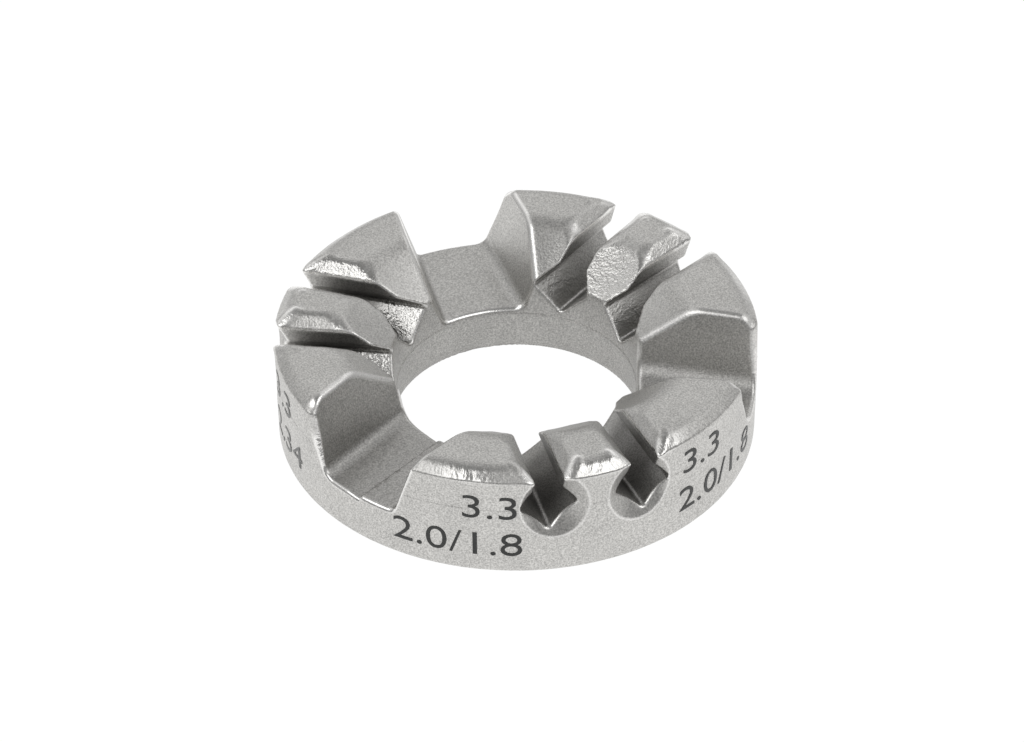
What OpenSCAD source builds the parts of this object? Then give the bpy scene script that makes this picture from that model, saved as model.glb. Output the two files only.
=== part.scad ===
// Round spoke wrench: one cast ring with nine lugs, in three groups of three.
// Keyhole slots between the lugs of a group grip a spoke nipple by its flats.
// The origin is at the centre of the ring, on the plane that it rests on.

/* [Ring] */
// Outer diameter at the foot of the top bevel
ring_d = 38; // [32:0.5:46]
// Height of the flat tops of the lugs
lug_h = 9.65; // [9.2:0.05:12]
// How much smaller the outer radius is at the base, from the casting draft
base_draft = 0.15; // [0:0.05:0.5]
// Radius of the round edge at the foot of the outer wall
base_edge_r = 0.4; // [0.2:0.1:0.8]

/* [Bore] */
// Diameter of the bore at its straight land
bore_d = 19; // [15:0.5:22]
// Width of the lead chamfer at the foot of the bore
lead_w = 0.3; // [0.1:0.05:0.6]
// Height of the lead chamfer at the foot of the bore
lead_h = 0.8; // [0.4:0.1:1.2]
// Height of the parting line in the bore, above which the wall opens out
parting_h = 3.6; // [3:0.1:4.5]

/* [Lugs] */
// Diameter at which the flat tops end and the slope to the bore begins
top_inner_d = 28.2; // [25:0.1:31]
// Diameter of the bore at the lower end of that slope
tip_d = 19.6; // [19.2:0.1:21]
// Height of the lower end of the slope
tip_h = 6.5; // [5:0.1:7]
// Width of the bevel round the outside of the tops
bevel_w = 1.05; // [0.5:0.05:1.5]
// Height of that bevel
bevel_h = 0.85; // [0.4:0.05:1.2]

/* [Slots] */
// Width across the flats of the nipple that a slot grips
nipple_flats = 3.2; // [2.8:0.05:3.5]
// How much wider than the nipple's flats a slot is
nipple_play = 0.1; // [0.05:0.01:0.2]
// How much the rounded corners take off each end of a slot's diagonal
corner_cut = 0.16; // [0.05:0.01:0.3]
// Height of the middle of the slot's square part
slot_h = 6.25; // [5.8:0.05:6.8]
// Width of the neck that the spoke drops through
neck_w = 2.2; // [1.8:0.1:2.6]
// Distance between the two slots of a group, at the outer wall
slot_spread = 7.7; // [6.5:0.1:9]
// Angle that each slot leans towards its neighbour, going inwards
slot_lean = 4.5; // [0:0.5:10]
// How much lower the flared top edges of a slot start than the outer bevel
flare_drop = 0.12; // [0.05:0.01:0.3]
// Diameter of the countersunk mouth of a slot
mouth_d = 5.9; // [5.2:0.1:6]
// Full angle of the cone of that mouth
mouth_angle = 114; // [90:2:130]

/* [Gaps] */
// Width of the floor of the narrowest of the three gaps
narrow_gap_w = 4.2; // [3.5:0.1:7]
// Width of the floor of the middle gap
middle_gap_w = 5.6; // [3.5:0.1:7]
// Width of the floor of the widest gap
wide_gap_w = 6.8; // [3.5:0.1:7.5]
// Height of the floor of the gaps
gap_floor_h = 3.85; // [3:0.05:4.2]
// Angle that the walls of a gap lean outwards
gap_wall_lean = 18; // [8:1:24]
// Angle that each wall of a gap turns away from its middle, going inwards
gap_taper = 3; // [0:0.5:5]
// Radius of the broad fillets, at the foot of each gap's clockwise wall and in the narrowest gap
broad_fillet_r = 2; // [1:0.1:2.2]
// Radius of the tight fillet at the foot of the other wall in the two wider gaps
tight_fillet_r = 0.6; // [0.3:0.1:1]
// Angle by which the middle gap sits off the centre between its two groups
middle_gap_turn = -2.5; // [-3:0.5:3]
// Size of the chamfer along the outer edge of a gap's floor
floor_lip = 0.35; // [0.1:0.05:0.6]
// How much higher the widest gap's floor is on the side of its tight fillet
floor_rise = 0.25; // [0.1:0.05:0.5]
// Distance of that rise from the middle of the gap
rise_offset = 0.3; // [-1:0.05:1]

/* [Hidden] */
$fn = 120;
small_round_sides = 24;
tight_steps = 4;
broad_steps = 8;

// Each gap follows its group anticlockwise: its floor's width, its turn, its rise
// and the radius and steps of the fillet at the foot of its anticlockwise wall
gap_floor_widths = [narrow_gap_w, middle_gap_w, wide_gap_w];
gap_turns = [0, middle_gap_turn, 0];
gap_rises = [0, 0, floor_rise];
gap_fillets = [broad_fillet_r, tight_fillet_r, tight_fillet_r];
gap_steps = [broad_steps, tight_steps, tight_steps];

// Share of a floor's half width that the fillets at its sides may take up
most_filleted = 0.9;
group_count = len(gap_floor_widths);
group_angle = 360/group_count;
first_group_angle = -90;
sides = [-1, 1];

// One overrun serves every cut
overrun = 1;

ring_r = ring_d/2;
bore_r = bore_d/2;
half_spread = slot_spread/2;
mouth_r = mouth_d/2;
bevel_foot_h = lug_h - bevel_h;
slot_flats = nipple_flats + nipple_play;
slot_corners = slot_flats*sqrt(2) - 2*corner_cut;
wall_angle = asin(half_spread/ring_r);
mouth_x = ring_r*cos(wall_angle);

// Half of the ring's section, before any slot or gap is cut
module ring_section() {
    foot_r = ring_r - base_draft;
    polygon([
        [bore_r + lead_w, 0],
        [foot_r - base_edge_r, 0],
        [foot_r, base_edge_r],
        [ring_r, bevel_foot_h],
        [ring_r - bevel_w, lug_h],
        [top_inner_d/2, lug_h],
        [tip_d/2, tip_h],
        [bore_r, parting_h],
        [bore_r, lead_h]
    ]);
    translate([foot_r - base_edge_r, base_edge_r])
        circle(r = base_edge_r, $fn = small_round_sides);
}

module ring_blank() {
    rotate_extrude()
        ring_section();
}

// Section of a slot: a square on its corner, a neck and a flared top edge
module slot_section() {
    half_neck = neck_w/2;
    flare_h = bevel_h + flare_drop;
    half_flare = half_neck + bevel_w*(flare_h + overrun)/flare_h;
    translate([0, slot_h])
        intersection() {
            rotate(45)
                square(slot_flats, center = true);
            circle(d = slot_corners);
        }
    polygon([
        [-half_neck, slot_h],
        [half_neck, slot_h],
        [half_neck, lug_h - flare_h],
        [half_flare, lug_h + overrun],
        [-half_flare, lug_h + overrun],
        [-half_neck, lug_h - flare_h]
    ]);
}

// One slot with its countersunk mouth, beside the middle of a group
module slot_cut(side) {
    run = ring_r - bore_r/2;
    cone_slope = tan(mouth_angle/2);
    cone_depth = mouth_r/cone_slope;
    translate([mouth_x, side*half_spread, 0])
        rotate([0, 0, side*slot_lean]) {
            translate([-run, 0, 0])
                rotate([90, 0, 90])
                    linear_extrude(run + ring_r - mouth_x + overrun)
                        slot_section();
            translate([-cone_depth, 0, slot_h])
                rotate([0, 90, 0])
                    cylinder(h = cone_depth + overrun, r1 = 0, r2 = mouth_r + overrun*cone_slope);
        }
}

// Fillet at the foot of a leaning wall whose sharp corner would be at [foot, 0],
// as points that run from the floor up to the wall
function foot_fillet(foot, fillet_r, steps) =
    let (slope = tan((90 + gap_wall_lean)/2))
    let (r = min(fillet_r, most_filleted*foot*slope))
    let (centre = [foot - r/slope, r])
    [for (i = [0 : steps])
        let (a = i/steps*(90 - gap_wall_lean))
        centre + r*[sin(a), -cos(a)]];

function mirrored(points) = [for (i = [len(points) - 1 : -1 : 0]) [-points[i].x, points[i].y]];

// Section of gap i above its floor: filleted feet and leaning walls
module gap_section(i, floor_w) {
    foot = floor_w/2;
    top = lug_h - gap_floor_h + overrun;
    wall_reach = top*tan(gap_wall_lean);
    polygon(concat(
        foot_fillet(foot, gap_fillets[i], gap_steps[i]),
        [[foot + wall_reach, top], [-foot - wall_reach, top]],
        mirrored(foot_fillet(foot, broad_fillet_r, broad_steps))
    ));
}

// A straight channel with its floor at height h. It is cut twice, its bore end
// turned both ways about the outer wall, so that it widens towards the bore.
module gap_channel(i, floor_w, h) {
    for (side = sides)
        translate([ring_r, 0, h])
            rotate([0, 0, side*gap_taper])
                translate([bore_r/2 - ring_r, 0, 0])
                    rotate([90, 0, 90])
                        linear_extrude(ring_r - bore_r/2 + overrun)
                            gap_section(i, floor_w);
}

// What stays of a gap's floor where it stands higher, on one side of a line
module raised_floor(rise) {
    translate([0, rise_offset, gap_floor_h - overrun])
        cube([ring_r + overrun, wide_gap_w, overrun + rise]);
}

// What lies outside the chamfer along a floor's outer edge
module lip_cone() {
    lip_r = ring_r - floor_lip - floor_rise;
    rotate_extrude()
        polygon([
            [lip_r, gap_floor_h + floor_rise],
            [ring_r + overrun, gap_floor_h - floor_lip - overrun],
            [ring_r + overrun, lug_h],
            [lip_r, lug_h]
        ]);
}

// Gap i. The chamfer ends just short of the walls.
module gap_cut(i) {
    floor_w = gap_floor_widths[i];
    difference() {
        gap_channel(i, floor_w, gap_floor_h);
        if (gap_rises[i] > 0)
            raised_floor(gap_rises[i]);
    }
    intersection() {
        gap_channel(i, floor_w - 2*floor_lip, gap_floor_h - floor_lip);
        lip_cone();
    }
}

module wrench_ring() {
    color([0.70, 0.69, 0.67])
        difference() {
            ring_blank();
            for (i = [0 : group_count - 1])
                rotate([0, 0, first_group_angle + i*group_angle]) {
                    for (side = sides)
                        slot_cut(side);
                    rotate([0, 0, group_angle/2 + gap_turns[i]])
                        gap_cut(i);
                }
        }
}

wrench_ring();
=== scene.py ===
"""A round spoke wrench: one cast steel ring with nine bevelled lugs, its size marks, and the stage it is shown on.

Sizes are in metres in the panel and in millimetres inside the shape functions.
"""

from math import cos, hypot, pi, radians, sin, sqrt, tan
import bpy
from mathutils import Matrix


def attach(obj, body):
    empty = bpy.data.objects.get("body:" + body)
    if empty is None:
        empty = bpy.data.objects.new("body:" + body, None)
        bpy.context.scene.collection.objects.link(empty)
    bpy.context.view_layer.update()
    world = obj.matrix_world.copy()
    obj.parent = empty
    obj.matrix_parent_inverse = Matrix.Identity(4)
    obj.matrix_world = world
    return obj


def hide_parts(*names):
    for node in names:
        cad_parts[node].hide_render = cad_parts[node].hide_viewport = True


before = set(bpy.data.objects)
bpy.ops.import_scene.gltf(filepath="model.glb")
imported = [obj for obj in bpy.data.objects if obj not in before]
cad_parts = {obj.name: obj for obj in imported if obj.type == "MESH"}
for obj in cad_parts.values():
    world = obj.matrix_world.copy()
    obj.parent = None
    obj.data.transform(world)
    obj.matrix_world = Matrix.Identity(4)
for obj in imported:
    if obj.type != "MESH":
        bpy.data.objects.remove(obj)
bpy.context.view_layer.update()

from types import SimpleNamespace

import bpy
import numpy as np
from mathutils import Matrix, Vector

bl_info = {
    "name": "Round spoke wrench",
    "version": (1, 0, 0),
    "blender": (4, 5, 0),
    "location": "3D View > Sidebar > Spoke wrench",
    "description": "Builds a cast round spoke wrench with nine lugs and its size marks",
    "category": "Object",
}

MM = 1000.0
NODE = "wrench_ring"
BODY = "root"
STEEL_LOOK = "blasted_cast_steel"
GROUPS = 3
FIRST_GROUP = radians(-90)
GROUP_TURN = 2 * pi / GROUPS

# Millimetres, degrees and shares. Threes are for the groups, anticlockwise from the front, or for the gaps by width.
# A pair is how far past the start in climb() a strip begins and ends, or the middle and the width of a spot.
STEP_FACE, STEP_FOOT, CORNER_CLIMB = (-0.02, 0.12), (-0.02, 0.1), (0.2, 4.0)
OUTER_CORNER, FLARE_END, MOUTH_RIM = (-1.4, -0.2), (-2.2, -0.8), (-0.9, -0.3)
INNER_END_WIDTH, RIM_COSINE = 0.7, 0.8
KNOB_ON_BEVEL, KNOB_ON_FLARE = (-0.22, 0.35), (0.12, 0.35)

# How close to a face a point still counts as lying on it
ON_BEVEL, ON_FLARE, ON_SLOPE, ON_SLOT, ON_WALL = 0.14, 0.16, 0.12, 0.05, 0.05
IN_HOLLOW, AT_CORNER, AT_OUTER_WALL, AT_GAP = 0.1, 0.4, 0.5, 0.5

# Where the marks of the skin begin and end
LUG_SIDE, LUG_TOP, BEVEL_STRIP = (-0.6, -0.2), (-1.3, -0.8), (-1.3, -0.9)
SLOPE_FOOT, SLOPE_PITS_END, CORNER_FOOT = (-0.4, 0.2), (1.5, -0.4), (0.5, 1.5)
SLOT_START, SLOT_PITS_END, SLOT_PITS_TOP = (-0.2, 0.3), (2.5, 4.5), 0.2
NECK, SLOT_END, GAP_WALL = (1, 2), (-3.5, -0.8), (0.6, 4.0)

# How beaten, pitted and dark faces are; the dark is painted shade in the slots and gaps, and beaten and pitted faces
# are also painted lighter as highlights. Flares have a row for each group, the big lugs' before the small one's.
BEVELS_BEATEN, BEATEN_PATCHES = np.array([1.0, 0.5, 0.4]), ((-31, 8), (0, 10), (18, 5))
SMALL_SLOPES_PITTED, BIG_SLOPES_PITTED = np.array([0.2, 0.8, 0.2]), 0.4
SLOTS_PITTED = np.array([0.4, 0.6, 1.1])
FLARES_PITTED = np.array([[0.2, 0.2], [0.3, 0.7], [0.9, 0.5]])
SLOTS_SHADED, GAPS_SHADED = np.array([1, 0.65, 0.8]), np.array([0.15, 0.12, 0.4])
# How the painted shade fades in a slot's neck and outwards, and over what length past the tip it grows, longer for the
# groups after the first
LOST_IN_NECK, LOST_OUTWARDS, SHADE_GROWS_BY, LATER_BEHIND = 0.3, 0.75, 2, 1.5

# Edges that wear, the radius that stands in for a sharp one, and how far off the sharp corner the steel is all worn
WORN_EDGES = ("crisp_r", "mouth_edge_r", "wall_edge_r", "tight_corner_r", "floor_edge_r")
SHARP_R, WORN_BY, GAPS_WORN = 0.001, 0.03, np.array([0.55, 1, 1])

# Painted highlights: bright spots at both ends of the flares, painted in the worn edge colour
SPOT_ON_BEVEL, SPOT_ON_FLARE, SPOTS_WITHIN = (-0.2, 0.4), (0.1, 0.35), 18
INNER_SPOT_WIDTH, INNER_SPOTS = 0.4, np.array([0, 1, 1])

# The grid of the mesh is shifted a little, so that no flat face lies on its points
GRID_SHIFT, GRID_RISE, GRID_MARGIN, SLAB = 0.0137, 0.0071, 3, 32
SEAM_STEP, SAME_SKIN = 0.6, 0.0005
MOST_TRIANGLES, NOISE_SEED, BEAD_SIDES, HALVINGS = 188000, 7, 8, 2

# Metres and shares from here on; a digit's height is in the font's own units
ONE_POINT, DIGIT_OF_FONT = 1e-7, 0.69
KEPT_ON_WALL, NOISE_RANGE = 0.5, (0.3, 0.7)
CLOUD_SIZE, STREAK_SIZE, FINE_PIT_SIZE = 0.0035, 0.00022, 0.00019
GRAIN_DEPTH, SMOOTH_DEPTH, MARK_DEPTH, CLOUD_TONE = 0.00002, 0.000006, 0.00004, 0.04
# The grain left on smooth faces, and how far beaten and pitted faces are lightened towards the worn edge colour as
# painted highlights
SMOOTH_GRAIN, BEATEN_BRIGHT, PITTED_BRIGHT = 0.3, 0.5, 0.3
INK_TONE, INK_ROUGHNESS = (0.6, 1.5), 0.35

# The light from around by height and side, and the floor's glow, with its share in reflections between two radii: a
# painted shadow that dims the floor seen in the steel inside and under the ring
LIGHT_GROWS, LIGHT_FADES, SIDE_FADES = (0.33, 0.64), (0.68, 0.95), (-0.4, 0.75)
FLOOR_SIZE, GLOW, GLOW_SEEN = 4.0, 1.06, 0.93
PAINTED_SHADOW_RADII, GLOW_MIRRORED = (0.012, 0.0185), (0.38, 0.95)

# Each lamp's name, turn and rise in degrees, distance, width and height
LAMPS = (("left_lamp", -163, 49, 0.36, 0.33, 0.18), ("right_lamp", -50, 52, 0.36, 0.34, 0.16))

# The camera's angles in degrees, its lens and sensor in millimetres, and where it looks from how far
CAMERA_TILT, CAMERA_ROLL, CAMERA_TURN = 37.70, -0.34, -19.2
LENS, SENSOR_WIDTH, CLIP_START = 165.86, 36.0, 0.01
LOOKED_AT, CAMERA_AWAY = (-0.000348, 0.006327, 0), 0.380


def setting(name, description, default, kind=bpy.props.FloatProperty, **more):
    """A setting with its name, what it is and its default."""
    return kind(name=name, description=description, default=default, **more)


def length(*given):
    """A length in metres."""
    return setting(*given, unit="LENGTH", precision=5)


def angle(name, description, degrees):
    """An angle whose default is given in degrees."""
    return setting(name, description, radians(degrees), unit="ROTATION")


def share(*given, most=1.0):
    """A plain number from 0 up to most."""
    return setting(*given, min=0.0, max=most)


def words(*given):
    """A short text."""
    return setting(*given, kind=bpy.props.StringProperty)


def colour(*given):
    """A linear colour."""
    return setting(*given, kind=bpy.props.FloatVectorProperty, size=3, subtype="COLOR", min=0.0, max=1.0)


class RingSizes(bpy.types.PropertyGroup):
    """Sizes of the cast ring, its lugs, slots and gaps"""

    ring_d: length("Ring diameter", "Outer diameter at the foot of the top bevel", 0.038)
    lug_h: length("Lug height", "Height of the flat tops of the lugs", 0.00965)
    base_draft: length("Base draft", "How much smaller the outer radius is at the base", 0.00015)
    base_edge_r: length("Base edge", "Radius of the round edge at the foot of the outer wall", 0.0004)
    bore_d: length("Bore diameter", "Diameter of the bore at its straight land", 0.019)
    lead_w: length("Lead width", "Width of the lead chamfer at the foot of the bore", 0.0003)
    lead_h: length("Lead height", "Height of that chamfer", 0.0008)
    parting_h: length("Bore parting line", "Height of the parting line in the bore", 0.0036)
    top_inner_d: length("Inner diameter of tops", "Diameter at which the flat tops end", 0.0282)
    tip_d: length("Tip diameter", "Diameter of the bore at the foot of the slope", 0.0196)
    tip_h: length("Tip height", "Height of the foot of the slope", 0.0065)
    bevel_w: length("Bevel width", "Width of the bevel round the outside of the tops", 0.00105)
    bevel_h: length("Bevel height", "Height of that bevel", 0.00085)
    slot_flats: length("Slot width", "Width across the flats of a slot's square part", 0.0033)
    slot_corner_r: length("Slot corner", "Radius of the corners of a slot's square part", 0.00039)
    slot_h: length("Slot height", "Height of the middle of a slot's square part", 0.00625)
    neck_w: length("Neck width", "Width of the neck that the spoke drops through", 0.0022)
    slot_spread: length("Slot spread", "Distance between the two slots of a group", 0.0077)
    slot_lean: angle("Slot lean", "Angle that a slot leans towards its neighbour", 4.5)
    flare_drop: length("Flare drop", "How much lower a slot's flare starts than the bevel", 0.00012)
    mouth_d: length("Mouth diameter", "Diameter of the countersunk mouth of a slot", 0.0059)
    mouth_angle: angle("Mouth angle", "Full angle of the cone of that mouth", 114)
    narrow_gap_w: length("Narrow gap", "Width of the floor of the narrowest gap", 0.0042)
    middle_gap_w: length("Middle gap", "Width of the floor of the middle gap", 0.0056)
    wide_gap_w: length("Wide gap", "Width of the floor of the widest gap", 0.0068)
    gap_floor_h: length("Gap floor", "Height of the floor of the gaps", 0.00385)
    wall_lean: angle("Wall lean", "Angle that the walls of a gap lean outwards", 18)
    gap_taper: angle("Gap taper", "Angle that each wall of a gap turns away from its middle", 3)
    middle_gap_turn: angle("Middle gap turn", "Angle by which the middle gap sits off its centre", -2.5)
    broad_fillet_r: length("Broad fillet", "Fillet at both walls of the narrow gap", 0.002)
    back_fillet_r: length("Back fillet", "Fillet at the middle gap's clockwise wall", 0.0011)
    left_fillet_r: length("Left fillet", "Fillet at the widest gap's clockwise wall", 0.0012)
    tight_fillet_r: length("Tight fillet", "Fillet at the other wall of the two wider gaps", 0.0006)
    floor_rise: length("Floor rise", "How much higher the widest gap's floor is beside its tight fillet", 0.00022)
    rise_offset: length("Rise offset", "Distance of that rise from the middle of the gap", 0.00032)
    dip_w: length("Dip width", "Width of the strip that dips towards the foot of that rise", 0.00134)
    dip_depth: length("Dip depth", "Depth of that dip", 0.00014)


class CastEdges(bpy.types.PropertyGroup):
    """How round the cast edges are, and the skin of the casting"""

    crisp_r: length("Crisp edge", "Radius of the edges along the slots", 0.00018)
    mouth_edge_r: length("Mouth edge", "Radius of the edge where a slot runs out into its mouth", 0.00042)
    rim_r: length("Mouth rim", "Radius of the rim of a slot's mouth", 0.0004)
    wall_edge_r: length("Wall edge", "Radius of the edges along the gap walls", 0.0004)
    corner_r: length("Broad corner", "Radius of a lug's outer corner above a broad fillet", 0.0009)
    tight_corner_r: length("Tight corner", "Radius of a lug's outer corner above a tight fillet", 0.0004)
    floor_edge_r: length("Floor edge", "Radius of the outer edge of a gap's floor", 0.00038)
    bevel_foot_r: length("Bevel foot", "Radius where the outer wall turns into the bevel", 0.0003)
    bevel_top_r: length("Bevel top", "Radius where the bevel turns into the top", 0.0016)
    flare_edge_r: length("Flare edge", "Radius where a slot's flare turns into the top", 0.00025)
    flare_corner_r: length("Flare corner", "Radius of a flare's edge at its two ends", 0.0005)
    knob_rise: length("Knob rise", "How far the corner between a flare and the bevel stands out", 0.00014)
    slope_edge_r: length("Slope edge", "Radius where the flat tops turn into the slope", 0.003)
    seam_h: length("Seam height", "Height of the parting line on the outer wall", 0.0061)
    bore_seam_drop: length("Bore seam drop", "How far under the bore's parting height its line lies", 0.0002)
    wall_seam_rise: length("Wall seam rise", "How far the parting line on the outer wall stands out", 0.00002)
    bore_seam_rise: length("Bore seam rise", "How far the parting line in the bore stands out", 0.00007)
    seam_r: length("Seam radius", "Radius of the bead along the parting lines", 0.00008)
    hammer_rise: length("Hammer rise", "Depth of the beaten look of the bevels", 0.0001)
    hammer_size: length("Hammer size", "Width of the dents of the beaten look", 0.0005)
    pit_rise: length("Pit rise", "Depth of the pits of the slopes and slots", 0.00007)
    pit_size: length("Pit size", "Size of those pits", 0.0004)
    skin_rise: length("Skin rise", "Height of the waves in the skin of the casting", 0.00003)
    skin_size: length("Skin size", "Size of those waves", 0.0022)
    mesh_step: length("Mesh step", "Step of the grid that the ring's mesh is drawn from", 0.00013)


class SteelLook(bpy.types.PropertyGroup):
    """Colour and roughness of the cast steel and of the marks, with painted shade in the hollows, painted highlights
    on the steel and a painted sheen on some marks
    """

    steel: colour("Steel", "Colour of the blasted steel", (0.585, 0.577, 0.558))
    # Painted shade: the colour that the slots and the low parts of the gaps are darkened towards, where shade falls
    shade_colour: colour("Recess", "Colour of the steel that the blasting didn't reach", (0.19, 0.184, 0.176))
    # Wear and painted highlight: the worn edges, and the bright mouth rims, flare-end spots and beaten and pitted
    # faces painted lighter
    wear_and_highlight: colour("Worn edge", "Colour of the steel along worn edges", (0.88, 0.87, 0.85))
    ink: colour("Mark", "Colour of the first group's size marks", (0.022, 0.023, 0.022))
    # Painted sheen: the same ink made lighter for the other groups' marks
    ink_with_painted_sheen: colour("Faint mark", "Colour of the other groups' size marks", (0.14, 0.14, 0.135))
    flat_roughness: share("Flat roughness", "Roughness of the blasted faces", 0.43)
    edge_roughness: share("Edge roughness", "Roughness of the rounded edges and beaten faces", 0.22)
    grain: share("Grain", "How much the tone of the grain varies", 0.3)
    grain_size: length("Grain size", "Size of the blasted grain", 0.00013)


class SizeMarks(bpy.types.PropertyGroup):
    """The plain numbers on the outer wall of the big lugs"""

    upper: words("Upper line", "Width of a slot in millimetres", "3.3")
    lower: words("Lower line", "Spoke sizes on the first group", "2.0/1.8")
    other: words("Other lower line", "Spoke size on the other groups", "2.34")
    upper_foot_h: length("Upper height", "Height of the foot of the upper line", 0.0053)
    lower_foot_h: length("Lower height", "Height of the foot of the lower line", 0.0017)
    digit_h: length("Digit height", "Height of a digit", 0.00216)
    thinner: length("Thinner", "How much each side of the font's strokes is taken in", 0.00002)
    digit_stretch: share("Digit stretch", "How much wider than the font's a digit is", 1.25, most=2.0)
    upper_near: angle("Upper near end", "Angle from the middle of a group to the near end of the upper line", 18.4)
    lower_near: angle("Lower near end", "Angle from the middle of a group to the near end of the lower line", 17.7)
    second_turn: angle("Second turn", "How much farther out the lines on the first group's second big lug stand", 3.8)
    other_turn: angle("Other turn", "The same for the other groups", 1.3)
    second_lift: length("Second lift", "How much higher the lines on a group's second big lug stand", 0.00035)
    rise: length("Mark rise", "How far a mark stands out of the wall", 0.000035)


class Stage(bpy.types.PropertyGroup):
    """The floor, the world and the lamps"""

    floor: colour("Floor", "Colour of the floor", (0.86, 0.86, 0.86))
    horizon_level: share("Horizon level", "Strength of the plain light from low down", 0.5)
    middle_level: share("Middle level", "Strength of the plain light from half way up", 1.07, most=2.0)
    zenith_level: share("Zenith level", "Strength of the plain light from straight above", 0.38)
    front_level: share("Front level", "Share of the plain light that comes from the camera's side", 0.45)
    lamp_level: share("Lamp level", "Brightness of the lamps beside a white backdrop", 1.38, most=20.0)


def settings_of(group):
    """The group's own properties, each with its value."""
    return [(group.bl_rna.properties[name], getattr(group, name)) for name in group.__annotations__]


def in_mm(group):
    """The group's settings as plain numbers: lengths in millimetres, the rest as they are."""
    return SimpleNamespace(**{
        prop.identifier: value * MM if getattr(prop, "unit", "NONE") == "LENGTH" else value
        for prop, value in settings_of(group)
    })


def in_panel(group):
    """The group's settings by their names in the panel."""
    return {prop.name: value for prop, value in settings_of(group)}


def round_meet(a, b, radius, cosine=0.0):
    """Distance to what lies inside both a and b, their edge rounded.

    cosine is that of the angle between their normals.
    """
    a = a + radius
    b = b + radius
    corner = (a > cosine * b) & (b > cosine * a)
    edge = np.sqrt(np.maximum(a * a + b * b - 2 * cosine * a * b, 0) / (1 - cosine * cosine))
    return np.where(corner, edge, np.maximum(a, b)) - radius


def round_join(a, b, radius, cosine=0.0):
    """Distance to what lies inside a or b, the crease between them rounded."""
    return -round_meet(-a, -b, radius, cosine)


def ease(value, low, high):
    """0 below low, 1 above high, and smooth between."""
    t = np.clip((value - low) / (high - low), 0, 1)
    return t * t * (3 - 2 * t)


def climb(value, start, strip):
    """0 to 1 over the strip, which begins and ends that far past the start."""
    return ease(value, start + strip[0], start + strip[1])


def near(value, width):
    """1 where the value is 0, falling to 0 over the width."""
    return np.exp(-((value / width) ** 2))


def spot(value, middle, width):
    """1 where the value is middle, falling to 0 over the width."""
    return near(value - middle, width)


def blend(low, high, share_of_high):
    """From low to high as the share goes from 0 to 1."""
    return low * (1 - share_of_high) + high * share_of_high


def faces_of(outline):
    """Normals and offsets of the sides of a convex outline given anticlockwise."""
    sides = []
    for (x0, y0), (x1, y1) in zip(outline, outline[1:] + outline[:1]):
        span = hypot(x1 - x0, y1 - y0)
        nx, ny = (y1 - y0) / span, -(x1 - x0) / span
        sides.append((nx, ny, -(nx * x0 + ny * y0)))
    return sides


def turned_blank(r, z, s, e):
    """Distance to the turned blank of the ring, and to its bevel and its slope alone."""
    ring_r, bore_r, foot_r = s.ring_d / 2, s.bore_d / 2, s.ring_d / 2 - s.base_draft
    outline = [
        (bore_r + s.lead_w, 0), (foot_r, 0), (ring_r, s.lug_h - s.bevel_h),
        (ring_r - s.bevel_w, s.lug_h), (s.top_inner_d / 2, s.lug_h),
        (s.tip_d / 2, s.tip_h), (bore_r, s.parting_h), (bore_r, s.lead_h),
    ]
    radii = [
        s.base_edge_r, e.bevel_foot_r, e.bevel_top_r, e.slope_edge_r, e.wall_edge_r,
        e.crisp_r, e.crisp_r,
    ]
    sides = faces_of(outline)
    faces = [nx * r + ny * z + offset for nx, ny, offset in sides]
    whole = faces[0]
    for k in range(1, len(faces)):
        cosine = sides[k - 1][0] * sides[k][0] + sides[k - 1][1] * sides[k][1]
        whole = round_meet(whole, faces[k], radii[k - 1], cosine)
    bevel, slope = faces[2], faces[4]
    return whole, bevel, slope


def slot_space(across, along, z, s, e):
    """Distance to the hollow of the nearest keyhole slot without its flare, and to the flare.

    across and along are folded into one group, so that its two slots are one.
    """
    half = s.slot_spread / 2
    mouth_x = sqrt((s.ring_d / 2) ** 2 - half**2)
    c, n = cos(s.slot_lean), sin(s.slot_lean)
    out = (along - mouth_x) * c + (across - half) * n
    side = np.abs(-(along - mouth_x) * n + (across - half) * c)
    up = z - s.slot_h
    corner = s.slot_corner_r
    flat = s.slot_flats / 2 - corner
    a = np.abs(side + up) / sqrt(2) - flat
    b = np.abs(side - up) / sqrt(2) - flat
    square = np.minimum(np.maximum(a, b), 0) + np.hypot(np.maximum(a, 0), np.maximum(b, 0)) - corner
    neck = np.maximum(side - s.neck_w / 2, -up)
    hollow = round_join(square, neck, e.crisp_r, sqrt(0.5))
    slope = tan(s.mouth_angle / 2)
    cone = (np.hypot(side, up) - s.mouth_d / 2 - slope * out) * cos(s.mouth_angle / 2)
    hollow = round_join(hollow, cone, e.mouth_edge_r, cos(s.mouth_angle / 2))
    flare_h = s.bevel_h + s.flare_drop
    drop = z - (s.lug_h - flare_h)
    flare = ((side - s.neck_w / 2) * flare_h - drop * s.bevel_w) / hypot(flare_h, s.bevel_w)
    return hollow, flare


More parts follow.
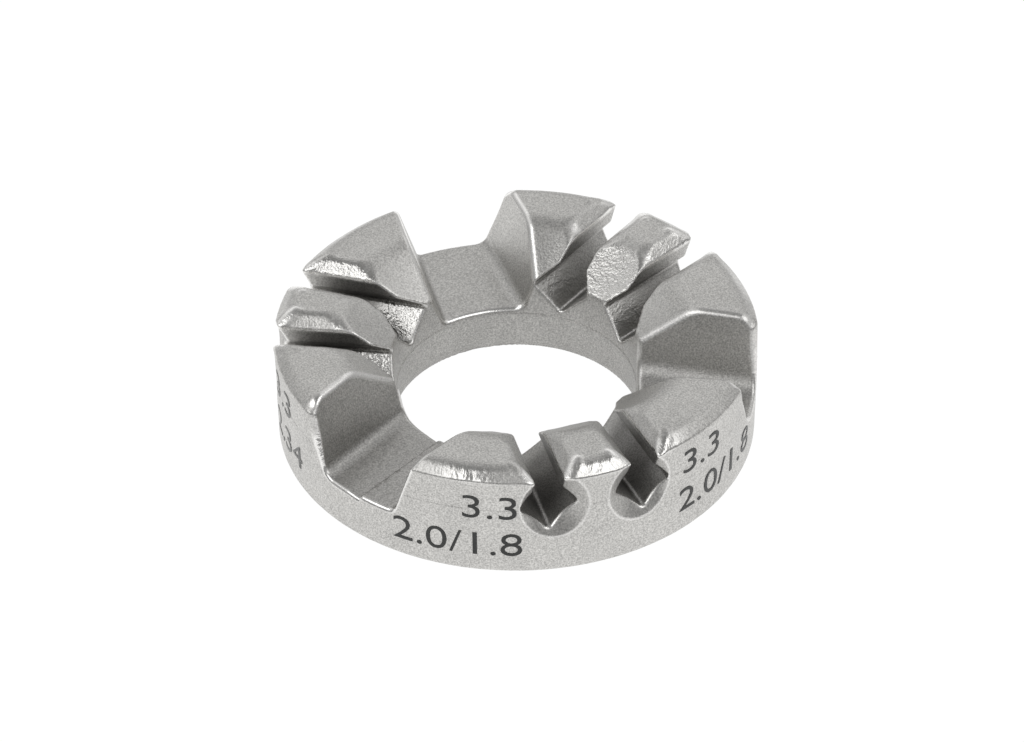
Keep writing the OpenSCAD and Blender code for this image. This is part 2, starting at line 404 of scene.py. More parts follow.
def gap_space(r, theta, z, s):
    """Distance to the hollow of the nearest gap, which gap that is, and which points lie at one of its soft walls."""
    turned = np.mod(theta - FIRST_GROUP, 2 * pi)
    which = np.minimum((turned / GROUP_TURN).astype(np.int32), GROUPS - 1)
    widths = np.array([s.narrow_gap_w, s.middle_gap_w, s.wide_gap_w], np.float32)
    turns = np.array([0, s.middle_gap_turn, 0], np.float32)
    middle = FIRST_GROUP + (which + 0.5) * GROUP_TURN + turns[which]
    u, v = r * np.cos(theta - middle), r * np.sin(theta - middle)
    lean, taper = s.wall_lean, s.gap_taper
    edge = v - s.rise_offset
    dip = np.clip(1 + edge / s.dip_w, 0, 1) * (1 - ease(edge, *STEP_FOOT))
    rise = s.floor_rise * ease(edge, *STEP_FACE) - s.dip_depth * dip
    up = z - s.gap_floor_h - rise * (which == GROUPS - 1)
    reach = widths[which] / 2 + up * tan(lean) + (s.ring_d / 2 - u) * tan(taper)
    tilt = cos(lean) * cos(taper)
    fillet = np.where(which == 0, s.broad_fillet_r, s.tight_fillet_r)
    space = round_meet(-up, (v - reach) * tilt, fillet, sin(lean))
    fillets = np.array([s.broad_fillet_r, s.back_fillet_r, s.left_fillet_r], np.float32)
    space = round_meet(space, (-v - reach) * tilt, fillets[which], sin(lean))
    return space, which, (v < 0) | (which == 0)


def ring_shape(x, y, z, s, e):
    """Distances to the finished ring, below 0 inside it, and to its bevel, slope, flare, slot and gap.

    With them comes where a point lies: how far across its group, at which gap and wall, and its radius and angle.
    """
    r = np.hypot(x, y)
    theta = np.arctan2(y, x)
    folded = np.mod(theta - FIRST_GROUP + GROUP_TURN / 2, GROUP_TURN) - GROUP_TURN / 2
    along, across = r * np.cos(folded), np.abs(r * np.sin(folded))
    blank, bevel, slope = turned_blank(r, z, s, e)
    slot, flare = slot_space(across, along, z, s, e)
    gap, which, soft = gap_space(r, theta, z, s)
    ring_r = s.ring_d / 2
    corner = np.where(soft, e.corner_r, e.tight_corner_r)
    corner = blend(e.floor_edge_r, corner, climb(z, s.gap_floor_h, CORNER_CLIMB))
    edge = blend(e.wall_edge_r, corner, climb(r, ring_r, OUTER_CORNER))
    ends = np.maximum(climb(r, ring_r, FLARE_END), near(r - s.top_inner_d / 2, INNER_END_WIDTH))
    body = round_meet(blank, -flare, blend(e.flare_edge_r, e.flare_corner_r, ends))
    body = body - e.knob_rise * spot(bevel, *KNOB_ON_BEVEL) * spot(flare, *KNOB_ON_FLARE)
    body = round_meet(body, -gap, edge)
    at_wall = climb(r, ring_r, MOUTH_RIM)
    body = round_meet(body, -slot, blend(e.crisp_r, e.rim_r, at_wall), RIM_COSINE * at_wall)
    return SimpleNamespace(
        body=body, bevel=bevel, slope=slope, flare=flare, slot=slot, gap=gap,
        across=across, which=which, soft=soft, r=r, theta=theta,
    )


def skin_of(field, low, step):
    """Points and four-sided faces of the surface where the field is 0.

    Each cell that the surface crosses has one point.
    """
    inside = field < 0
    count = np.zeros(tuple(n - 1 for n in field.shape), np.int8)
    corners = [(i, j, k) for i in (0, 1) for j in (0, 1) for k in (0, 1)]
    nx, ny, nz = count.shape
    for i, j, k in corners:
        count += inside[i : i + nx, j : j + ny, k : k + nz]
    cells = np.argwhere((count > 0) & (count < 8))
    number = np.full(count.shape, -1, np.int32)
    number[tuple(cells.T)] = np.arange(len(cells))
    value = {c: field[tuple((cells + c).T)] for c in corners}
    total = np.zeros((len(cells), 3))
    hits = np.zeros(len(cells))
    for axis in range(3):
        for start in (c for c in corners if c[axis] == 0):
            end = tuple(v + (n == axis) for n, v in enumerate(start))
            a, b = value[start], value[end]
            crossed = (a < 0) != (b < 0)
            t = np.where(crossed, a / np.where(crossed, a - b, 1), 0)
            for n in range(3):
                total[:, n] += crossed * (start[n] + (t if n == axis else 0))
            hits += crossed
    points = np.array(low) + step * (cells + total / hits[:, None])
    faces = []
    for axis in range(3):
        other = [n for n in range(3) if n != axis]
        a = inside[tuple(slice(0, -1) if n == axis else slice(1, -1) for n in range(3))]
        b = inside[tuple(slice(1, None) if n == axis else slice(1, -1) for n in range(3))]
        for flip in (False, True):
            edges = np.argwhere((~a & b) if flip else (a & ~b))
            for n in other:
                edges[:, n] += 1
            quad = []
            for p, q in ((-1, -1), (0, -1), (0, 0), (-1, 0)):
                cell = edges.copy()
                cell[:, other[0]] += p
                cell[:, other[1]] += q
                quad.append(number[tuple(cell.T)])
            if flip != (axis == 1):
                quad.reverse()
            faces.append(np.stack(quad, 1))
    return points, np.concatenate(faces)


def settle(points, s, e, passes=3):
    """Moves points of the rough skin onto the exact surface, along its slope."""
    reach, least_steep, most_moved = 0.01, 0.25, 0.1
    for _ in range(passes):
        here = ring_shape(*points.T, s, e).body
        slope = np.empty_like(points)
        for n in range(3):
            ahead, behind = points.copy(), points.copy()
            ahead[:, n] += reach
            behind[:, n] -= reach
            slope[:, n] = (ring_shape(*ahead.T, s, e).body - ring_shape(*behind.T, s, e).body) / (2 * reach)
        steep = np.maximum((slope**2).sum(1), least_steep)
        points = points - np.clip(here / steep, -most_moved, most_moved)[:, None] * slope
    return points


def marks_of_skin(points, s, e):
    """How beaten, pitted, deep in a hollow and worn each point is, from 0 to 1. Deep in a hollow gives painted shade;
    the edge share holds worn edges and painted highlights.
    """
    at = ring_shape(*points.T, s, e)
    z, r = points[:, 2], at.r
    ring_r, top_r, tip_r, floor_h = s.ring_d / 2, s.top_inner_d / 2, s.tip_d / 2, s.gap_floor_h
    past = np.mod(at.theta - FIRST_GROUP + GROUP_TURN / 2, 2 * pi)
    group = (past / GROUP_TURN).astype(int) % GROUPS
    turn = np.degrees(np.mod(past, GROUP_TURN) - GROUP_TURN / 2)
    small_lug = 1 - climb(at.across, s.slot_spread / 2, LUG_SIDE)
    small = (small_lug > 0.5).astype(int)
    high = climb(z, s.lug_h, LUG_TOP)

    on_bevel = high * near(at.bevel, ON_BEVEL) * climb(r, ring_r, BEVEL_STRIP)
    most_beaten = np.minimum(sum(spot(turn, *patch) for patch in BEATEN_PATCHES), 1)
    beaten = BEVELS_BEATEN[group] * on_bevel * most_beaten

    on_flare = high * near(at.flare, ON_FLARE)
    low = 1 - ease(r, tip_r + SLOPE_PITS_END[0], top_r + SLOPE_PITS_END[1])
    on_slope = near(at.slope, ON_SLOPE) * climb(z, s.tip_h, SLOPE_FOOT)
    on_slope = on_slope * (small_lug * SMALL_SLOPES_PITTED[group] + (1 - small_lug) * BIG_SLOPES_PITTED * low)
    corner = near(at.gap, AT_CORNER) * near(ring_r - r, AT_OUTER_WALL) * climb(z, floor_h, CORNER_FOOT)
    in_slot = near(at.slot, ON_SLOT) * climb(r, tip_r, SLOT_START) * (1 - climb(r, tip_r, SLOT_PITS_END))
    in_slot = SLOTS_PITTED[group] * in_slot * (z < s.slot_h + SLOT_PITS_TOP)
    pitted = np.maximum.reduce([on_slope, corner * at.soft, in_slot, FLARES_PITTED[group, small] * on_flare])

    # Painted shade: darker deep in the slots and low in the gaps, where shade falls
    deep = near(at.slot, IN_HOLLOW) * (1 - high) * ease(r, tip_r, tip_r + SHADE_GROWS_BY + LATER_BEHIND * (group > 0))
    deep = deep * SLOTS_SHADED[group] * (1 - LOST_IN_NECK * climb(z, s.slot_h, NECK))
    deep = deep * (1 - LOST_OUTWARDS * climb(r, ring_r, SLOT_END))
    in_gap = near(at.gap, IN_HOLLOW) * (1 - climb(z, floor_h, GAP_WALL))
    deep = np.maximum(deep, in_gap * GAPS_SHADED[at.which])

    sharp = SimpleNamespace(**{**vars(e), **dict.fromkeys(WORN_EDGES, SHARP_R)})
    edge = np.clip(-ring_shape(*points.T, s, sharp).body / WORN_BY, 0, 1)
    edge = np.where(at.gap < AT_GAP, edge * GAPS_WORN[at.which], edge)
    wall_r = ring_r - s.base_draft * (1 - z / (s.lug_h - s.bevel_h))
    # Painted highlights: the bright line along the mouth rims and the spots at both ends of the flares, added to the
    # worn edges
    rim = near(at.slot, ON_SLOT) * near(wall_r - r, ON_WALL) * (1 - high)
    outer_highlight = high * spot(at.bevel, *SPOT_ON_BEVEL) * spot(at.flare, *SPOT_ON_FLARE)
    outer_highlight = outer_highlight * (np.abs(turn) < SPOTS_WITHIN)
    inner_highlight = on_flare * near(r - top_r, INNER_SPOT_WIDTH) * INNER_SPOTS[group]
    edge = np.maximum.reduce([edge, rim, outer_highlight, inner_highlight])
    return {"beaten": beaten, "pitted": pitted, "deep": deep, "edge": edge}


def mesh_from(name, points, faces):
    """A mesh of four-sided faces, made in bulk."""
    mesh = bpy.data.meshes.new(name)
    mesh.vertices.add(len(points))
    mesh.vertices.foreach_set("co", np.ascontiguousarray(points, np.float32).ravel())
    mesh.loops.add(faces.size)
    mesh.loops.foreach_set("vertex_index", np.ascontiguousarray(faces, np.int32).ravel())
    mesh.polygons.add(len(faces))
    mesh.polygons.foreach_set("loop_start", np.arange(0, faces.size, 4, dtype=np.int32))
    mesh.update(calc_edges=True)
    mesh.validate()
    return mesh


def give(mesh, name, values):
    """A named number on each point of the mesh."""
    layer = mesh.attributes.new(name, "FLOAT", "POINT")
    layer.data.foreach_set("value", np.ascontiguousarray(values, np.float32))


def link(name, data):
    """A new object in the scene."""
    obj = bpy.data.objects.new(name, data)
    bpy.context.scene.collection.objects.link(obj)
    return obj


def plain_copy(obj, name):
    """The evaluated object as a plain mesh object at the origin; obj goes."""
    bpy.context.view_layer.update()
    seen = obj.evaluated_get(bpy.context.evaluated_depsgraph_get())
    mesh = bpy.data.meshes.new_from_object(seen)
    mesh.name = name
    bpy.data.objects.remove(obj)
    return link(name, mesh)


def small_piece(obj, name):
    """The evaluated object as a piece of steel that goes with the ring."""
    made = plain_copy(obj, name)
    if not made.data.polygons:
        raise RuntimeError("nothing was made for " + name)
    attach(made, BODY)


class Tree:
    """A short way to write a node tree: add() makes a node and sets or wires the inputs that are given."""

    def __init__(self, tree):
        self.nodes, self.links = tree.nodes, tree.links

    def add(self, kind, inputs=None, **settings):
        node = self.nodes.new(kind)
        for key, value in settings.items():
            setattr(node, key, value)
        for key, value in (inputs or {}).items():
            for part in value if isinstance(value, list) else [value]:
                if isinstance(part, bpy.types.NodeSocket):
                    self.links.new(part, node.inputs[key])
                else:
                    node.inputs[key].default_value = part
        return node

    def geo(self, kind, inputs=None, **settings):
        """The first output of a new geometry node."""
        return self.add("GeometryNode" + kind, inputs, **settings).outputs[0]

    def sum(self, operation, a, b=0.0):
        """What the named operation makes of a and b."""
        return self.add("ShaderNodeMath", {0: a, 1: b}, operation=operation).outputs[0]

    def times(self, a, b):
        return self.sum("MULTIPLY", a, b)

    def scaled(self, vector, scale):
        """The vector times the scale."""
        return self.add("ShaderNodeVectorMath", {0: vector, "Scale": scale}, operation="SCALE").outputs[0]

    def ranged(self, value, low, high, to_low, to_high):
        """The value's place between low and high, carried over to between to_low and to_high."""
        inputs = {"Value": value, "From Min": low, "From Max": high, "To Min": to_low, "To Max": to_high}
        return self.add("ShaderNodeMapRange", inputs).outputs[0]

    def drawn_out(self, place, radius):
        """Where to read a noise whose spots are longer across the bevels of a ring of that radius than round it."""
        flat = self.add("ShaderNodeVectorMath", {0: place, 1: (1, 1, 0)}, operation="MULTIPLY").outputs[0]
        outward = self.add("ShaderNodeVectorMath", {0: flat}, operation="NORMALIZE").outputs[0]
        on_wall = self.scaled(outward, self.times(radius, KEPT_ON_WALL))
        rest = self.scaled(place, 1 - KEPT_ON_WALL)
        return self.add("ShaderNodeVectorMath", {0: on_wall, 1: rest}, operation="ADD").outputs[0]

    def mixed(self, a, b, factor):
        """Colour a turning into b as the factor goes from 0 to 1."""
        inputs = {"Factor": factor, 6: a, 7: b}
        return self.add("ShaderNodeMix", inputs, data_type="RGBA").outputs[2]

    def rays(self):
        """The kinds of ray, and 1 for those that the camera sees directly or through something."""
        path = self.add("ShaderNodeLightPath").outputs
        return path, self.sum("MAXIMUM", path["Is Camera Ray"], path["Is Transmission Ray"])

    def named(self, name):
        """The number of that name on each point."""
        return self.add("GeometryNodeInputNamedAttribute", {"Name": name}, data_type="FLOAT").outputs["Attribute"]

    def finish(self, geometry, material):
        """Ends a geometry tree in Realize Instances and Set Material."""
        whole = self.geo("RealizeInstances", {"Geometry": geometry})
        painted = self.geo("SetMaterial", {"Geometry": whole, "Material": material})
        self.add("NodeGroupOutput", {"Geometry": painted})


def modifier_with(obj, tree, values):
    """Adds the tree to obj as a modifier, its inputs set by their identifiers."""
    modifier = obj.modifiers.new(tree.name, "NODES")
    modifier.node_group = tree
    for item in tree.interface.items_tree:
        if item.item_type == "SOCKET" and item.in_out == "INPUT" and item.name in values:
            modifier[item.identifier] = values[item.name]
    return modifier


def new_tree(name, sockets):
    """A geometry node tree with a Geometry input and output, and the inputs whose names are listed for each kind."""
    tree = bpy.data.node_groups.new(name, "GeometryNodeTree")
    tree.interface.new_socket("Geometry", in_out="INPUT", socket_type="NodeSocketGeometry")
    for kind, labels in sockets.items():
        for label in labels:
            tree.interface.new_socket(label, in_out="INPUT", socket_type="NodeSocket" + kind)
    tree.interface.new_socket("Geometry", in_out="OUTPUT", socket_type="NodeSocketGeometry")
    return tree, Tree(tree)


def casting_tree():
    """Beats the bevels, pits the slopes and waves the skin of the casting, by the named numbers on its points."""
    tree, t = new_tree("casting_skin", {
        "Float": ("Hammer rise", "Hammer size", "Pit rise", "Pit size", "Skin rise", "Skin size", "Wall radius"),
        "Int": ("Seed",), "Material": ("Material",),
    })
    given = t.add("NodeGroupInput").outputs
    place = t.geo("InputPosition")
    normal = t.geo("InputNormal")

    def waves(where, kind):
        scale = t.sum("DIVIDE", 1.0, given[kind + " size"])
        inputs = {"Vector": where, "W": given["Seed"], "Scale": scale, "Detail": 1.0}
        noise = t.add("ShaderNodeTexNoise", inputs, noise_dimensions="4D").outputs[0]
        return t.times(t.sum("SUBTRACT", noise, 0.5), given[kind + " rise"])

    dents = t.times(waves(t.drawn_out(place, given["Wall radius"]), "Hammer"), t.named("beaten"))
    pits = t.times(waves(place, "Pit"), t.named("pitted"))
    shift = t.scaled(normal, t.sum("ADD", t.sum("ADD", dents, pits), waves(place, "Skin")))
    moved = t.geo("SetPosition", {"Geometry": given["Geometry"], "Offset": shift})
    t.finish(moved, given["Material"])
    return tree


def marks_tree():
    """Writes both lines on the two big lugs of a group, bends them round the wall and copies them to other groups."""
    tree, t = new_tree("wall_marks", {
        "String": ("Upper line", "Lower line"), "Int": ("Copies",), "Material": ("Material",),
        "Float": (
            "Digit height", "Digit stretch", "Thinner", "Upper height", "Lower height", "Upper near end",
            "Lower near end", "Second turn", "Second lift", "Mark rise", "Wall radius", "Wall height", "Draft",
            "First group",
        ),
    })
    given = t.add("NodeGroupInput").outputs
    size = t.sum("DIVIDE", given["Digit height"], DIGIT_OF_FONT)

    def line(text, side, near_angle, foot):
        """One line on the lug of that side, half its thickness inside the wall."""
        align = "LEFT" if side > 0 else "RIGHT"
        letters = t.geo("StringToCurves", {"String": text, "Size": size}, align_x=align)
        curves = t.geo("RealizeInstances", {"Geometry": letters})
        curves = t.geo("ResampleCurve", {"Curve": curves}, mode="EVALUATED")
        along = t.geo("InputTangent")
        inward = t.add("ShaderNodeVectorMath", {0: along, 1: (0, 0, -1)}, operation="CROSS_PRODUCT").outputs[0]
        offset = t.scaled(inward, given["Thinner"])
        curves = t.geo("SetPosition", {"Geometry": curves, "Offset": offset})
        flat = t.geo("FillCurve", {"Curve": curves})
        fine = t.geo("SubdivideMesh", {"Mesh": flat, "Level": HALVINGS})
        inputs = {"Mesh": fine, "Offset Scale": t.times(given["Mark rise"], 2.0), "Individual": False}
        front = t.geo("ExtrudeMesh", inputs)
        back = t.geo("FlipFaces", {"Mesh": fine})
        shut = t.geo("JoinGeometry", {"Geometry": [front, back]})
        shut = t.geo("MergeByDistance", {"Geometry": shut, "Distance": ONE_POINT})
        x, y, z = t.add("ShaderNodeSeparateXYZ", {0: t.geo("InputPosition")}).outputs
        height = t.sum("ADD", y, foot)
        if side > 0:
            height = t.sum("ADD", height, given["Second lift"])
            near_angle = t.sum("ADD", near_angle, given["Second turn"])
        arc = t.sum("DIVIDE", t.times(x, given["Digit stretch"]), given["Wall radius"])
        turn = t.sum("ADD", arc, t.times(near_angle, float(side)))
        under_top = t.sum("SUBTRACT", 1.0, t.sum("DIVIDE", height, given["Wall height"]))
        taper = t.times(given["Draft"], under_top)
        radius = t.sum("SUBTRACT", t.sum("ADD", given["Wall radius"], t.sum("SUBTRACT", z, given["Mark rise"])), taper)
        bent = t.add("ShaderNodeCombineXYZ", {
            "X": t.times(radius, t.sum("COSINE", turn)),
            "Y": t.times(radius, t.sum("SINE", turn)), "Z": height,
        }).outputs[0]
        return t.geo("SetPosition", {"Geometry": shut, "Position": bent})

    lines = [
        line(given[label + " line"], side, given[label + " near end"], given[label + " height"])
        for label in ("Upper", "Lower") for side in (-1, 1)
    ]
    group = t.geo("JoinGeometry", {"Geometry": lines})
    spots = t.geo("Points", {"Count": given["Copies"]})
    index = t.geo("InputIndex")
    heading = t.sum("ADD", t.times(index, GROUP_TURN), given["First group"])
    turn = t.add("ShaderNodeCombineXYZ", {"Z": heading}).outputs[0]
    inputs = {"Points": spots, "Instance": group, "Rotation": turn}
    t.finish(t.geo("InstanceOnPoints", inputs), given["Material"])
    return tree


def seam_tree():
    """Sweeps a thin round bead along the edges that come in."""
    tree, t = new_tree("seam_bead", {"Float": ("Bead radius",), "Int": ("Sides",), "Material": ("Material",)})
    given = t.add("NodeGroupInput").outputs
    path = t.geo("MeshToCurve", {0: given["Geometry"]})
    inputs = {"Resolution": given["Sides"], "Radius": given["Bead radius"]}
    ring = t.geo("CurvePrimitiveCircle", inputs)
    bead = t.geo("CurveToMesh", {"Curve": path, "Profile Curve": ring, "Fill Caps": True})
    whole = t.geo("MergeByDistance", {"Geometry": bead, "Distance": ONE_POINT})
    t.finish(whole, given["Material"])
    return tree


def emptied(owner):
    """The node tree of a material or world, with its nodes taken out."""
    owner.use_nodes = True
    owner.node_tree.nodes.clear()
    return Tree(owner.node_tree)


def new_material(name):
    """An empty material and its tree."""
    material = bpy.data.materials.new(name)
    return material, emptied(material)


def blasted_steel(look, wall_r):
    """Cast steel with a blasted grain. Its edges and beaten faces are smoother; deep in the hollows it is darker with
    painted shade, and its worn edges, flare ends and beaten and pitted faces are lighter, as wear and as painted
    highlights.
    """
    material, t = new_material(STEEL_LOOK)
    place = t.add("ShaderNodeTexCoord").outputs["Object"]
    beaten, pitted, deep, edge = [
        t.add("ShaderNodeAttribute", attribute_name=name).outputs["Fac"]
        for name in ("beaten", "pitted", "deep", "edge")
    ]

    def noise(where, size, detail):
        return t.add("ShaderNodeTexNoise", {"Vector": where, "Scale": 1 / size, "Detail": detail}).outputs[0]

    cloud, fine = noise(place, CLOUD_SIZE, 3.0), noise(place, look.grain_size, 2.0)
    smooth = t.sum("MAXIMUM", t.sum("MAXIMUM", beaten, edge), pitted)
    grain = t.ranged(smooth, 0.0, 1.0, look.grain, SMOOTH_GRAIN * look.grain)
    bright = t.sum("MAXIMUM", t.times(beaten, BEATEN_BRIGHT), t.times(pitted, PITTED_BRIGHT))
    bright = t.sum("MAXIMUM", edge, bright)
    # Painted shade darkens the hollows; wear and painted highlights lighten the edges, the flare ends and the beaten
    # and pitted faces
    base = t.mixed(t.mixed((*look.steel, 1), (*look.shade_colour, 1), deep), (*look.wear_and_highlight, 1), bright)
    grainy = t.times(t.ranged(fine, *NOISE_RANGE, -1.0, 1.0), grain)
    tone = t.sum("ADD", t.sum("ADD", grainy, 1.0), t.ranged(cloud, *NOISE_RANGE, -CLOUD_TONE, CLOUD_TONE))
    rough = t.ranged(smooth, 0.0, 1.0, look.flat_roughness, look.edge_roughness)
    height = t.times(fine, t.ranged(smooth, 0.0, 1.0, GRAIN_DEPTH, SMOOTH_DEPTH))
    streaks = noise(t.drawn_out(place, wall_r), STREAK_SIZE, 1.0)
    streaks = t.times(streaks, t.times(beaten, MARK_DEPTH))
    pits = t.times(noise(place, FINE_PIT_SIZE, 1.0), t.times(pitted, MARK_DEPTH))
    height = t.sum("ADD", height, t.sum("ADD", streaks, pits))
    bump = t.add("ShaderNodeBump", {"Height": height, "Strength": 1.0, "Distance": 1.0}).outputs[0]
    shader = t.add("ShaderNodeBsdfPrincipled", {
        "Base Color": t.scaled(base, tone), "Roughness": rough, "Normal": bump, "Metallic": 1.0,
    })
    t.add("ShaderNodeOutputMaterial", {"Surface": shader.outputs[0]})
    return material


def mark_ink(name, ink, look):
    """The dark oxide of a burnt mark, a little uneven."""
    material, t = new_material(name)
    place = t.add("ShaderNodeTexCoord").outputs["Object"]
    fine = t.add("ShaderNodeTexNoise", {"Vector": place, "Scale": 1 / look.grain_size, "Detail": 2.0}).outputs[0]
    toned = t.scaled(tuple(ink), t.ranged(fine, *NOISE_RANGE, *INK_TONE))
    shader = t.add("ShaderNodeBsdfPrincipled", {"Base Color": toned, "Roughness": INK_ROUGHNESS})
    t.add("ShaderNodeOutputMaterial", {"Surface": shader.outputs[0]})
    return material


def build_ring(scene):
    """The cast ring with its rounded edges and beaten bevels, as one closed mesh."""
    sizes, edges = in_mm(scene.wrench_sizes), in_mm(scene.wrench_edges)
    step = edges.mesh_step
    ring_r, margin = sizes.ring_d / 2, GRID_MARGIN * step
    x = np.arange(-ring_r - margin, ring_r + margin + step, step, dtype=np.float32) + np.float32(GRID_SHIFT)
    z = np.arange(-margin, sizes.lug_h + margin + step, step, dtype=np.float32) + np.float32(GRID_RISE)
    field = np.empty((len(x), len(x), len(z)), np.float32)
    for i in range(0, len(x), SLAB):
        part = slice(i, i + SLAB)
        field[part] = ring_shape(x[part, None, None], x[None, :, None], z[None, None, :], sizes, edges).body
    points, faces = skin_of(field, (x[0], x[0], z[0]), step)
    points = settle(points, sizes, edges)
    mesh = mesh_from("ring_skin", points / MM, faces)
    for name, values in marks_of_skin(points, sizes, edges).items():
        give(mesh, name, values)
    obj = link("ring_skin", mesh)
    wall_r = scene.wrench_sizes.ring_d / 2
    modifier_with(obj, casting_tree(), {
        **in_panel(scene.wrench_edges), "Wall radius": wall_r, "Seed": NOISE_SEED,
        "Material": blasted_steel(scene.wrench_look, wall_r),
    })
    thin = obj.modifiers.new("thin_out", "DECIMATE")
    thin.ratio = min(1.0, MOST_TRIANGLES / (2 * len(faces)))
    ring = plain_copy(obj, "cast_ring")
    ring.data.shade_smooth()
    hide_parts(NODE)
    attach(ring, BODY)


def seam_paths(radius, height, s, e):
    """Points along a circle, and the pairs of neighbours between which the ring's turned skin is whole."""
    turns = np.radians(np.arange(0, 360 + SEAM_STEP, SEAM_STEP))
    x, y, z = radius * np.cos(turns), radius * np.sin(turns), np.full(len(turns), height)
    whole = turned_blank(np.hypot(x, y), z, s, e)[0]
    there = np.abs(ring_shape(x, y, z, s, e).body - whole) < SAME_SKIN
    points = np.stack([x, y, z], 1)[:-1]
    count = len(points)
    return points, [(k, (k + 1) % count) for k in range(count) if there[k] and there[k + 1]]


def build_seams(scene):
    """The fine parting lines that the mould left on the outer wall and in the bore."""
    s, e = in_mm(scene.wrench_sizes), in_mm(scene.wrench_edges)
    wall_r = s.ring_d / 2 - s.base_draft * (1 - e.seam_h / (s.lug_h - s.bevel_h))
    tree = seam_tree()
    for name, radius, height in (
        ("wall_seam", wall_r - e.seam_r + e.wall_seam_rise, e.seam_h),
        ("bore_seam", s.bore_d / 2 + e.seam_r - e.bore_seam_rise, s.parting_h - e.bore_seam_drop),
    ):
        points, steps = seam_paths(radius, height, s, e)
        used = sorted({k for pair in steps for k in pair})
        place = {k: n for n, k in enumerate(used)}
        mesh = bpy.data.meshes.new(name)
        mesh.from_pydata(points[used] / MM, [(place[a], place[b]) for a, b in steps], [])
        obj = link(name + "_path", mesh)
        modifier_with(obj, tree, {
            "Bead radius": scene.wrench_edges.seam_r, "Sides": BEAD_SIDES,
            "Material": bpy.data.materials[STEEL_LOOK],
        })
        small_piece(obj, name)


def build_marks(scene):
    """The plain numbers burnt into the outer wall of the big lugs."""
    marks, sizes, look = scene.wrench_marks, scene.wrench_sizes, scene.wrench_look
    tree = marks_tree()
    for name, lower, second_turn, first, copies, ink in (
        ("front_marks", marks.lower, marks.second_turn, FIRST_GROUP, 1, look.ink),
        # The other groups' marks get the lighter ink, a painted sheen
        ("other_marks", marks.other, marks.other_turn, FIRST_GROUP + GROUP_TURN, GROUPS - 1, look.ink_with_painted_sheen),
    ):
        obj = link(name + "_start", bpy.data.meshes.new(name))
        modifier_with(obj, tree, {
            **in_panel(marks), "Lower line": lower, "Second turn": second_turn, "Wall radius": sizes.ring_d / 2,
            "Wall height": sizes.lug_h - sizes.bevel_h, "Draft": sizes.base_draft, "First group": first,
            "Copies": copies, "Material": mark_ink(name + "_ink", ink, look),
        })
        small_piece(obj, name)


def lamp(name, turn, rise, away, width, height, level):
    """An oval lamp that looks at the ring from that turn and rise, in degrees, as bright as level times white."""
    data = bpy.data.lights.new(name, "AREA")
    data.shape = "ELLIPSE"
    data.size, data.size_y = width, height
    data.energy = level * pi * pi * width * height / 4
    obj = link(name, data)
    a, b = radians(turn), radians(rise)
    obj.location = away * Vector((cos(a) * cos(b), sin(a) * cos(b), sin(b)))
    obj.rotation_euler = (-obj.location).to_track_quat("-Z", "Y").to_euler()


def build_world(scene, stage, forward):
    """White where the camera sees the backdrop; brightest half way up, and dimmer at the camera's side."""
    scene.world = bpy.data.worlds.new("white_room")
    t = emptied(scene.world)
    seen = t.rays()[1]
    heading = t.add("ShaderNodeNewGeometry").outputs["Position"]
    height = t.add("ShaderNodeSeparateXYZ", {0: heading}).outputs["Z"]
    low = t.ranged(height, *LIGHT_GROWS, stage.horizon_level, stage.middle_level)
    high = t.ranged(height, *LIGHT_FADES, stage.middle_level, stage.zenith_level)
    away = t.add("ShaderNodeVectorMath", {0: heading, 1: forward}, operation="DOT_PRODUCT").outputs["Value"]
    side = t.ranged(away, *SIDE_FADES, stage.front_level, 1.0)
    sky = t.times(t.sum("MINIMUM", low, high), side)
    light = t.add("ShaderNodeBackground", {"Color": (1, 1, 1, 1), "Strength": t.sum("MAXIMUM", seen, sky)})
    t.add("ShaderNodeOutputWorld", {"Surface": light.outputs[0]})


def build_stage(scene):
    """The white floor, the light around, the lamps, and the camera where the photo's stood."""
    stage = scene.wrench_stage
    scene.view_settings.view_transform = "Standard"
    tilt, roll, turn = radians(CAMERA_TILT), radians(CAMERA_ROLL), radians(CAMERA_TURN)
    build_world(scene, stage, (-sin(turn), cos(turn), 0))
    bpy.ops.mesh.primitive_plane_add(size=FLOOR_SIZE, location=(0, 0, 0))
    floor = bpy.context.object
    floor.name = "floor"
    material, t = new_material("white_floor")
    path, seen = t.rays()
    place = t.add("ShaderNodeTexCoord").outputs["Object"]
    out = t.add("ShaderNodeVectorMath", {0: place}, operation="LENGTH").outputs["Value"]
    # Painted shadow: the floor seen in the steel is dimmer inside and under the ring
    mirrored = t.times(path["Is Glossy Ray"], t.ranged(out, *PAINTED_SHADOW_RADII, *GLOW_MIRRORED))
    plain = t.add("ShaderNodeBsdfDiffuse", {"Color": (*stage.floor, 1)})
    bright = t.add("ShaderNodeEmission", {"Color": (1, 1, 1, 1), "Strength": GLOW})
    part = t.sum("MAXIMUM", t.times(seen, GLOW_SEEN), mirrored)
    mix = t.add("ShaderNodeMixShader", {0: part, 1: plain.outputs[0], 2: bright.outputs[0]})
    t.add("ShaderNodeOutputMaterial", {"Surface": mix.outputs[0]})
    floor.data.materials.append(material)
    for settings in LAMPS:
        lamp(*settings, stage.lamp_level)

    camera = bpy.data.cameras.new("camera")
    camera.lens = LENS
    camera.sensor_width = SENSOR_WIDTH
    camera.clip_start = CLIP_START
    camera.dof.use_dof = False
    obj = link("camera", camera)
    ahead = Vector((0, cos(tilt), -sin(tilt)))
    right, up = Vector((1, 0, 0)), Vector((0, sin(tilt), cos(tilt)))
    right, up = cos(roll) * right + sin(roll) * up, -sin(roll) * right + cos(roll) * up
    facing = Matrix((right, up, -ahead)).transposed()
    place = Vector(LOOKED_AT) - CAMERA_AWAY * ahead
    obj.matrix_world = Matrix.Rotation(turn, 4, "Z") @ Matrix.LocRotScale(place, facing.to_quaternion(), None)
    scene.camera = obj


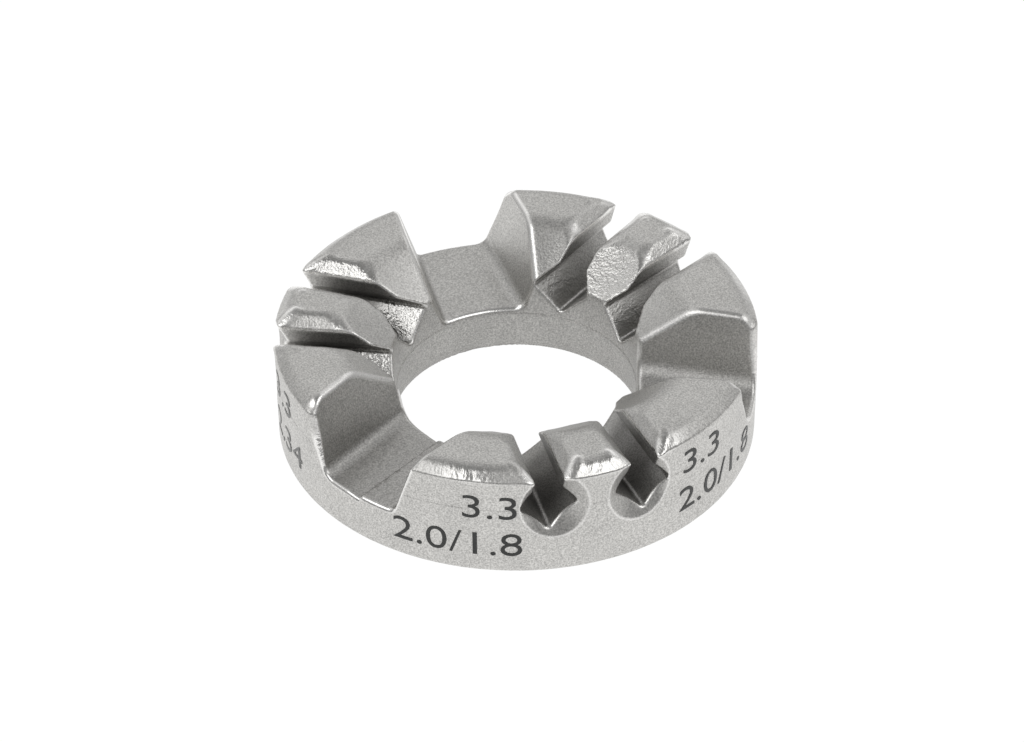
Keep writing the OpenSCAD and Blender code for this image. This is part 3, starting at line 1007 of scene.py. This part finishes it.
class WRENCH_OT_ring(bpy.types.Operator):
    """Build the cast ring in place of the plain one"""

    bl_idname = "wrench.ring"
    bl_label = "Build cast ring"

    def execute(self, context):
        build_ring(context.scene)
        return {"FINISHED"}


class WRENCH_OT_seams(bpy.types.Operator):
    """Run the fine parting lines round the ring; the cast ring's steel must be there"""

    bl_idname = "wrench.seams"
    bl_label = "Build parting lines"

    def execute(self, context):
        build_seams(context.scene)
        return {"FINISHED"}


class WRENCH_OT_marks(bpy.types.Operator):
    """Put the size marks on the outer wall"""

    bl_idname = "wrench.marks"
    bl_label = "Build size marks"

    def execute(self, context):
        build_marks(context.scene)
        return {"FINISHED"}


class WRENCH_OT_stage(bpy.types.Operator):
    """Set the floor, the world, the lamps and the camera"""

    bl_idname = "wrench.stage"
    bl_label = "Set stage"

    def execute(self, context):
        build_stage(context.scene)
        return {"FINISHED"}


class WRENCH_PT_panel(bpy.types.Panel):
    """Lists the steps that build the spoke wrench"""

    bl_label = "Spoke wrench"
    bl_idname = "WRENCH_PT_panel"
    bl_space_type = "VIEW_3D"
    bl_region_type = "UI"
    bl_category = "Spoke wrench"

    def draw(self, context):
        for operator in OPERATORS:
            self.layout.operator(operator.bl_idname)


SETTINGS = {
    "wrench_sizes": RingSizes, "wrench_edges": CastEdges, "wrench_look": SteelLook,
    "wrench_marks": SizeMarks, "wrench_stage": Stage,
}
OPERATORS = (WRENCH_OT_ring, WRENCH_OT_seams, WRENCH_OT_marks, WRENCH_OT_stage)


def register():
    for name, group in SETTINGS.items():
        bpy.utils.register_class(group)
        setattr(bpy.types.Scene, name, bpy.props.PointerProperty(type=group))
    for operator in OPERATORS:
        bpy.utils.register_class(operator)
    bpy.utils.register_class(WRENCH_PT_panel)


def unregister():
    bpy.utils.unregister_class(WRENCH_PT_panel)
    for operator in reversed(OPERATORS):
        bpy.utils.unregister_class(operator)
    for name, group in reversed(SETTINGS.items()):
        delattr(bpy.types.Scene, name)
        bpy.utils.unregister_class(group)


def main():
    register()
    bpy.ops.wrench.ring()
    bpy.ops.wrench.seams()
    bpy.ops.wrench.marks()
    bpy.ops.wrench.stage()


if __name__ == "__main__":
    main()
